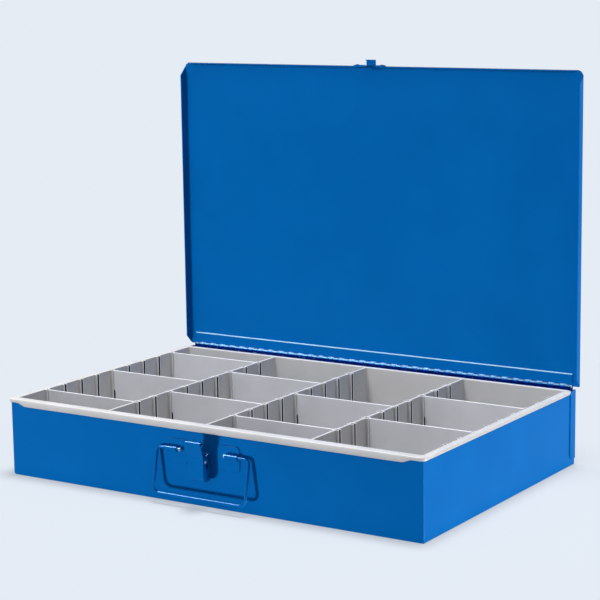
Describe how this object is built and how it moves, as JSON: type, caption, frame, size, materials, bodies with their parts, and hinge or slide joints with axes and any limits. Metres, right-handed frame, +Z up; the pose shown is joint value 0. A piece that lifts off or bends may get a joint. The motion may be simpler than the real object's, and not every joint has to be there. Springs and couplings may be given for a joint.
{
  "type": "compartment case",
  "caption": "Shallow folded-steel case with a full-length hinged lid, a lever latch, a wire bail handle and a lift-out moulded tray whose compartments are set by slide-in dividers.",
  "frame": {"origin": "centre of the case's flat underside", "axes": "+X to the right along the hinge, +Y to the rear, +Z up; the lid stands open at a right angle"},
  "size_m": [0.4666, 0.323, 0.3911],
  "materials": {
    "blue_paint": "smooth gloss enamel",
    "tray_plastic": "moulded semi-gloss polystyrene",
    "divider_plastic": "moulded semi-gloss polystyrene",
    "zinc_pin": "zinc-plated steel"
  },
  "bodies": {
    "case": {"case_shell": "blue_paint", "rear_panel": "blue_paint", "case_hinge_leaf": "blue_paint", "hinge_pin": "zinc_pin", "handle_plate_left": "blue_paint", "handle_plate_right": "blue_paint", "latch_bracket": "blue_paint", "latch_pin": "zinc_pin"},
    "lid": {"lid_shell": "blue_paint", "lid_hinge_leaf": "blue_paint", "lid_catch": "blue_paint", "catch_rivets": "blue_paint"},
    "bail": {"bail_handle": "blue_paint"},
    "latch": {"latch_lever": "blue_paint"},
    "tray": {"tray_insert": "tray_plastic"},
    "divider_1_1": {"divider_1_1": "divider_plastic"},
    "divider_1_2": {"divider_1_2": "divider_plastic"},
    "divider_1_3": {"divider_1_3": "divider_plastic"},
    "divider_2_1": {"divider_2_1": "divider_plastic"},
    "divider_2_2": {"divider_2_2": "divider_plastic"},
    "divider_3_1": {"divider_3_1": "divider_plastic"},
    "divider_3_2": {"divider_3_2": "divider_plastic"},
    "divider_4_1": {"divider_4_1": "divider_plastic"},
    "divider_4_2": {"divider_4_2": "divider_plastic"}
  },
  "joints": [
    {"name": "lid_hinge", "type": "hinge", "parent": "case", "child": "lid", "pos_m": [0, 0.15045, 0.07715], "axis": [-1, 0, 0], "range_deg": [-90, 0]},
    {"name": "bail_hinge", "type": "hinge", "parent": "case", "child": "bail", "pos_m": [0, -0.15576, 0.0516], "axis": [-1, 0, 0], "range_deg": [-11.5, 139.5]},
    {"name": "latch_hinge", "type": "hinge", "parent": "case", "child": "latch", "pos_m": [0, -0.1616, 0.045], "axis": [-1, 0, 0], "range_deg": [0, 25]},
    {"name": "tray_lift", "type": "slide", "parent": "case", "child": "tray", "axis": [0, 0, 1], "range_m": [0, 0.085]},
    {"name": "divider_1_1_lift", "type": "slide", "parent": "tray", "child": "divider_1_1", "axis": [0, 0, 1], "range_m": [0, 0.085]},
    {"name": "divider_1_2_lift", "type": "slide", "parent": "tray", "child": "divider_1_2", "axis": [0, 0, 1], "range_m": [0, 0.085]},
    {"name": "divider_1_3_lift", "type": "slide", "parent": "tray", "child": "divider_1_3", "axis": [0, 0, 1], "range_m": [0, 0.085]},
    {"name": "divider_2_1_lift", "type": "slide", "parent": "tray", "child": "divider_2_1", "axis": [0, 0, 1], "range_m": [0, 0.085]},
    {"name": "divider_2_2_lift", "type": "slide", "parent": "tray", "child": "divider_2_2", "axis": [0, 0, 1], "range_m": [0, 0.085]},
    {"name": "divider_3_1_lift", "type": "slide", "parent": "tray", "child": "divider_3_1", "axis": [0, 0, 1], "range_m": [0, 0.085]},
    {"name": "divider_3_2_lift", "type": "slide", "parent": "tray", "child": "divider_3_2", "axis": [0, 0, 1], "range_m": [0, 0.085]},
    {"name": "divider_4_1_lift", "type": "slide", "parent": "tray", "child": "divider_4_1", "axis": [0, 0, 1], "range_m": [0, 0.085]},
    {"name": "divider_4_2_lift", "type": "slide", "parent": "tray", "child": "divider_4_2", "axis": [0, 0, 1], "range_m": [0, 0.085]}
  ]
}
